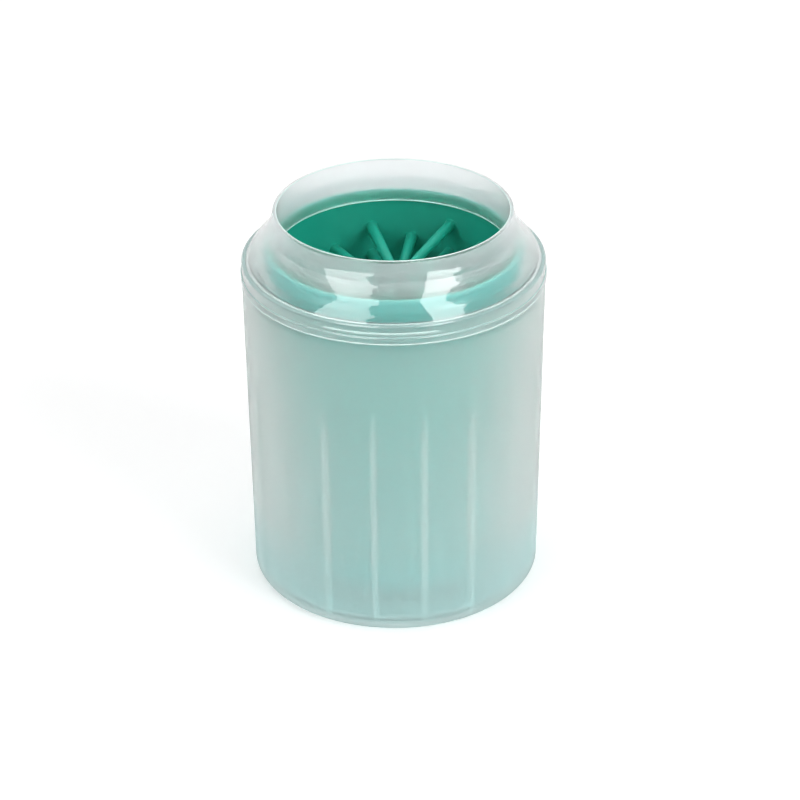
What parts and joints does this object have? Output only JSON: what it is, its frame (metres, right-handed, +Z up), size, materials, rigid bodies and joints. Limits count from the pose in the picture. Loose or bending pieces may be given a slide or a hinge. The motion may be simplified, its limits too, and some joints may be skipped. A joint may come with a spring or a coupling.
{
  "type": "paw washer cup",
  "caption": "Frosted water cup with a milky twist-on collar and a soft bristled liner, into which a dirty paw is dipped and turned to wash it.",
  "frame": {"origin": "centre of the ring that the cup stands on, in the plane of the table", "axes": "+Z up along the axis of the cup; -Y towards the side that the picture shows"},
  "size_m": [0.11, 0.11, 0.1453],
  "materials": {
    "frosted_plastic": "translucent frosted polypropylene with fine ribs inside",
    "milky_plastic": "milky translucent plastic, polished",
    "pale_seal": "pale silicone, satin",
    "green_silicone": "soft teal-green silicone, satin"
  },
  "bodies": {
    "cup_body": {"cup": "frosted_plastic"},
    "seal_body": {"seal_ring": "pale_seal"},
    "collar_body": {"collar": "milky_plastic"},
    "liner_body": {"liner_sleeve": "green_silicone", "bristle_row_01": "green_silicone", "bristle_row_02": "green_silicone", "bristle_row_03": "green_silicone", "bristle_row_04": "green_silicone", "bristle_row_05": "green_silicone", "bristle_row_06": "green_silicone", "bristle_row_07": "green_silicone", "bristle_row_08": "green_silicone", "bristle_row_09": "green_silicone", "bristle_row_10": "green_silicone", "bristle_row_11": "green_silicone", "bristle_row_12": "green_silicone", "bristle_row_13": "green_silicone", "bristle_row_14": "green_silicone", "bristle_row_15": "green_silicone", "bristle_row_16": "green_silicone", "bristle_row_17": "green_silicone", "bristle_row_18": "green_silicone", "bristle_row_19": "green_silicone"}
  },
  "joints": [
    {"name": "collar_lift", "type": "slide", "parent": "cup_body", "child": "seal_body", "axis": [0, 0, 1], "range_m": [0, 0.12]},
    {"name": "collar_turn", "type": "hinge", "parent": "seal_body", "child": "collar_body", "pos_m": [0, 0, 0.126], "axis": [0, 0, 1], "range_deg": [-60, 0]},
    {"name": "liner_pull", "type": "slide", "parent": "collar_body", "child": "liner_body", "axis": [0, 0, -1], "range_m": [0, 0.0045]}
  ]
}
